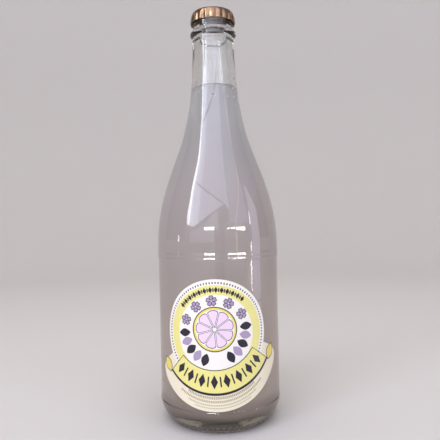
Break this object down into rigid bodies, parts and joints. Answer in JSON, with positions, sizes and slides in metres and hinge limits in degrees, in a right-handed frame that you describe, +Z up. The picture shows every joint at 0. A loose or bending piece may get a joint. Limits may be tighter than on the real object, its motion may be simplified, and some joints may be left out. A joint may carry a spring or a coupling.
{
  "type": "crown-capped drinks bottle",
  "caption": "Filled clear glass drinks bottle with long sloping shoulders, a crown cap that lifts off and a die-cut round paper label with a wider crescent foot.",
  "frame": {"origin": "centre of the base, in the plane of the standing ring", "axes": "+Z up the bottle's axis, -Y towards the front of the label, +X to the label's right as it is read"},
  "size_m": [0.0824, 0.0824, 0.2796],
  "materials": {
    "clear_glass": "polished, clear flint glass",
    "drink": null,
    "label_paper": "cream wet-strength label paper, satin",
    "gold_tinplate": "gold-lacquered tinplate, glossy",
    "liner_plastic": "soft moulded liner compound"
  },
  "bodies": {
    "bottle": {"glass_bottle": "clear_glass", "lemonade": "drink", "front_label": "label_paper"},
    "crown": {"crown_shell": "gold_tinplate", "crown_liner": "liner_plastic"}
  },
  "joints": [
    {"name": "crown_lift", "type": "slide", "parent": "bottle", "child": "crown", "axis": [0, 0, 1], "range_m": [0, 0.1]}
  ]
}
